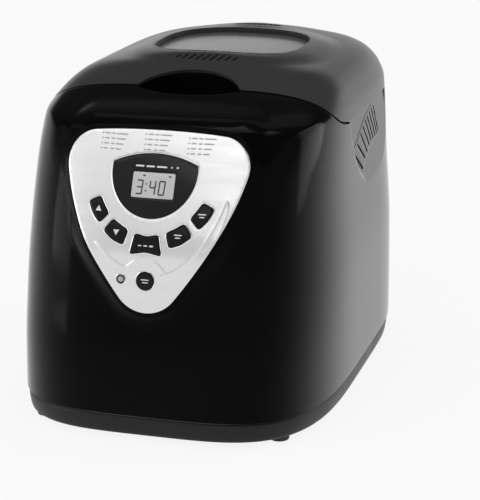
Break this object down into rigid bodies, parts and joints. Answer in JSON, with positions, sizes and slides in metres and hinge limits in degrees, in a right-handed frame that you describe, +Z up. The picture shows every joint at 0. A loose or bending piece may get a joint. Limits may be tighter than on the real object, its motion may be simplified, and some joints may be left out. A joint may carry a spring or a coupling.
{
  "type": "bread machine",
  "caption": "Black table-top bread machine with a rounded housing, hinged lid with an oval window, silver shield-shaped control panel and a lift-out kneading pan.",
  "frame": {"origin": "centre of the overall box at the table surface, under the feet", "axes": "+X to the right seen from the front, -Y out of the control panel side, +Z up"},
  "size_m": [0.2868, 0.407, 0.308],
  "materials": {
    "housing_gloss": "black gloss moulding",
    "base_satin": "black satin moulding",
    "foot_rubber": "dark rubber",
    "gland_rubber": "dark rubber",
    "window_glass": "clear glass, tinted",
    "display_lens": "dark clear lens",
    "liner_steel": "plain sheet",
    "gasket": "silicone",
    "pin_steel": "polished",
    "fascia_silver": "satin silver",
    "lcd": "grey display",
    "board": "green circuit board",
    "button_gloss": "black gloss",
    "light_lens": "clear lens",
    "oven_steel": "plain sheet",
    "element_sheath": "oxidised sheath",
    "ceramic_bush": "ceramic",
    "pan_coating": "dark non-stick coating",
    "bush_brass": "sintered bronze",
    "cast_alloy": "cast",
    "pulley_nylon": "nylon",
    "belt_rubber": "moulded rubber",
    "motor_shell": "grey",
    "capacitor_case": "white"
  },
  "bodies": {
    "housing": {"body_shell": "housing_gloss", "base_tray": "base_satin", "foot_front_left": "foot_rubber", "foot_rear_left": "foot_rubber", "foot_front_right": "foot_rubber", "foot_rear_right": "foot_rubber", "cord_gland": "gland_rubber", "hinge_pin_left": "pin_steel", "hinge_pin_right": "pin_steel", "fascia": "fascia_silver", "display_window": "display_lens", "display_module": "lcd", "control_board": "board", "power_light": "light_lens", "oven_chamber": "oven_steel", "heating_element": "element_sheath", "element_bush_left": "ceramic_bush", "element_bush_right": "ceramic_bush", "temperature_sensor": "pin_steel", "thermal_fuse": "fascia_silver", "pan_seat": "oven_steel", "bearing_housing": "cast_alloy", "drive_belt": "belt_rubber", "motor_body": "motor_shell", "motor_bracket": "oven_steel", "motor_capacitor": "capacitor_case", "power_board": "board", "chassis": "oven_steel"},
    "lid": {"lid_shell": "housing_gloss", "lid_window_glass": "window_glass", "lid_liner": "liner_steel", "lid_gasket": "gasket"},
    "pan": {"bread_pan": "pan_coating", "pan_foot": "oven_steel", "pan_bush": "bush_brass"},
    "bail": {"pan_handle": "pin_steel"},
    "agitator": {"pan_spindle": "pin_steel", "pan_coupling": "oven_steel", "kneading_paddle": "pan_coating"},
    "drive": {"drive_coupler": "oven_steel", "drive_shaft": "pin_steel", "large_pulley": "pulley_nylon"},
    "rotor": {"motor_shaft": "pin_steel", "motor_pulley": "cast_alloy"},
    "button_time_up": {"button_time_up": "button_gloss"},
    "button_time_down": {"button_time_down": "button_gloss"},
    "button_loaf_size": {"button_loaf_size": "button_gloss"},
    "button_options": {"button_options": "button_gloss"},
    "button_crust": {"button_crust": "button_gloss"},
    "button_start": {"button_start": "button_gloss"}
  },
  "joints": [
    {"name": "lid_hinge", "type": "hinge", "parent": "housing", "child": "lid", "pos_m": [0, 0.1988, 0.2515], "axis": [-1, 0, 0], "range_deg": [0, 85]},
    {"name": "pan_lift", "type": "slide", "parent": "housing", "child": "pan", "axis": [0, 0, 1], "range_m": [0, 0.2]},
    {"name": "pan_handle_fold", "type": "hinge", "parent": "pan", "child": "bail", "pos_m": [0, 0.072, 0.199], "axis": [1, 0, 0], "range_deg": [0, 158]},
    {"name": "pan_spin", "type": "hinge", "parent": "pan", "child": "agitator", "pos_m": [0, 0.072, 0.08], "axis": [0, 0, 1], "continuous": true},
    {"name": "drive_spin", "type": "hinge", "parent": "housing", "child": "drive", "pos_m": [0, 0.072, 0.03], "axis": [0, 0, 1], "continuous": true},
    {"name": "motor_spin", "type": "hinge", "parent": "housing", "child": "rotor", "pos_m": [0, -0.095, 0.03], "axis": [0, 0, 1], "continuous": true},
    {"name": "time_up_press", "type": "slide", "parent": "housing", "child": "button_time_up", "axis": [0, 0.9135, -0.4067], "range_m": [0, 0.0012], "stiffness_N_per_m": 900},
    {"name": "time_down_press", "type": "slide", "parent": "housing", "child": "button_time_down", "axis": [0, 0.9135, -0.4067], "range_m": [0, 0.0012], "stiffness_N_per_m": 900},
    {"name": "loaf_size_press", "type": "slide", "parent": "housing", "child": "button_loaf_size", "axis": [0, 0.9135, -0.4067], "range_m": [0, 0.0012], "stiffness_N_per_m": 900},
    {"name": "options_press", "type": "slide", "parent": "housing", "child": "button_options", "axis": [0, 0.9135, -0.4067], "range_m": [0, 0.0012], "stiffness_N_per_m": 900},
    {"name": "crust_press", "type": "slide", "parent": "housing", "child": "button_crust", "axis": [0, 0.9135, -0.4067], "range_m": [0, 0.0012], "stiffness_N_per_m": 900},
    {"name": "start_press", "type": "slide", "parent": "housing", "child": "button_start", "axis": [0, 1, 0], "range_m": [0, 0.0012], "stiffness_N_per_m": 900}
  ],
  "couplings": [
    {"joint": "pan_lift", "follows": "lid_hinge", "m_per_rad": 0.13481},
    {"joint": "pan_spin", "follows": "drive_spin", "ratio": 1},
    {"joint": "motor_spin", "follows": "drive_spin", "ratio": 6.4706}
  ]
}
